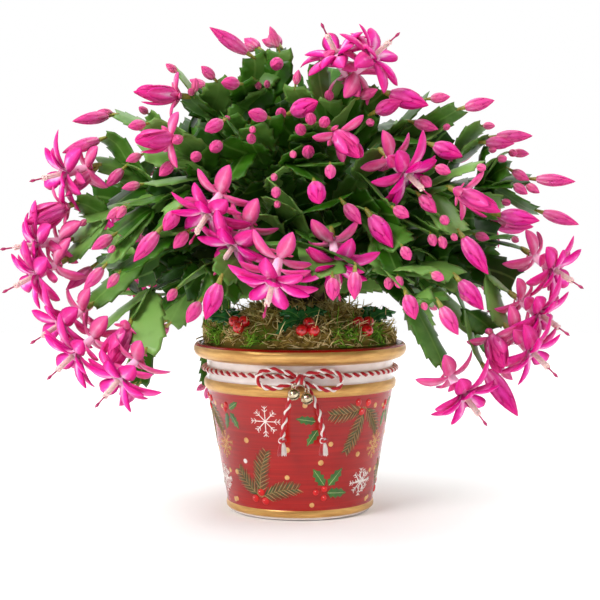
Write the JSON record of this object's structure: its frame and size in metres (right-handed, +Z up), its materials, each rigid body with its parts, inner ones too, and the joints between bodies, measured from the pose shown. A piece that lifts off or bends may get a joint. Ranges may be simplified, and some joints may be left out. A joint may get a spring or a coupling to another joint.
{
  "type": "potted christmas cactus",
  "caption": "Christmas cactus in full magenta bloom, in a red glazed ceramic pot with gold bands and holly, tied with red and white twine and small bells.",
  "frame": {"origin": "middle of the pot's underside, on the surface it stands on", "axes": "+Z up, -Y towards the bow, which is the side the plant is shown from, +X to its right"},
  "size_m": [0.4369, 0.4407, 0.3808],
  "materials": {
    "glaze": "gloss red glaze with satin gold lustre bands and raised enamel motifs",
    "soil": "matt crumbly potting mix",
    "moss": "shaggy dried moss",
    "bark": "matt corky bark",
    "pad": "waxy leaf sheen",
    "petal": "satin translucent petal",
    "holly": "glossy holly leaf",
    "berry": "high gloss",
    "twine": "twisted cotton, red and white",
    "bell_brass": "antiqued brass"
  },
  "bodies": {
    "root": {"bell_left": "bell_brass", "bell_right": "bell_brass", "bloom_01": "petal", "bloom_02": "petal", "bloom_03": "petal", "bloom_04": "petal", "bloom_05": "petal", "bloom_06": "petal", "bloom_07": "petal", "bloom_08": "petal", "bloom_09": "petal", "bloom_10": "petal", "bloom_11": "petal", "bloom_12": "petal", "bloom_13": "petal", "bloom_14": "petal", "bloom_15": "petal", "bloom_16": "petal", "bloom_17": "petal", "bow": "twine", "crown": "bark", "end_knot_left": "twine", "end_knot_right": "twine", "holly_berries_left": "berry", "holly_berries_middle": "berry", "holly_berries_right": "berry", "holly_leaves_left": "holly", "holly_leaves_middle": "holly", "holly_leaves_right": "holly", "moss": "moss", "pellet_left": "bell_brass", "pellet_right": "bell_brass", "pot": "glaze", "soil": "soil", "stem_01": "pad", "stem_02": "pad", "stem_03": "pad", "stem_04": "pad", "stem_05": "pad", "stem_06": "pad", "stem_07": "pad", "stem_08": "pad", "stem_09": "pad", "stem_10": "pad", "stem_11": "pad", "stem_12": "pad", "stem_13": "pad", "stem_14": "pad", "stem_15": "pad", "stem_16": "pad", "stem_17": "pad", "stem_18": "pad", "stem_19": "pad", "stem_20": "pad", "tail_left": "twine", "tail_right": "twine", "twine_band": "twine"}
  },
  "joints": []
}
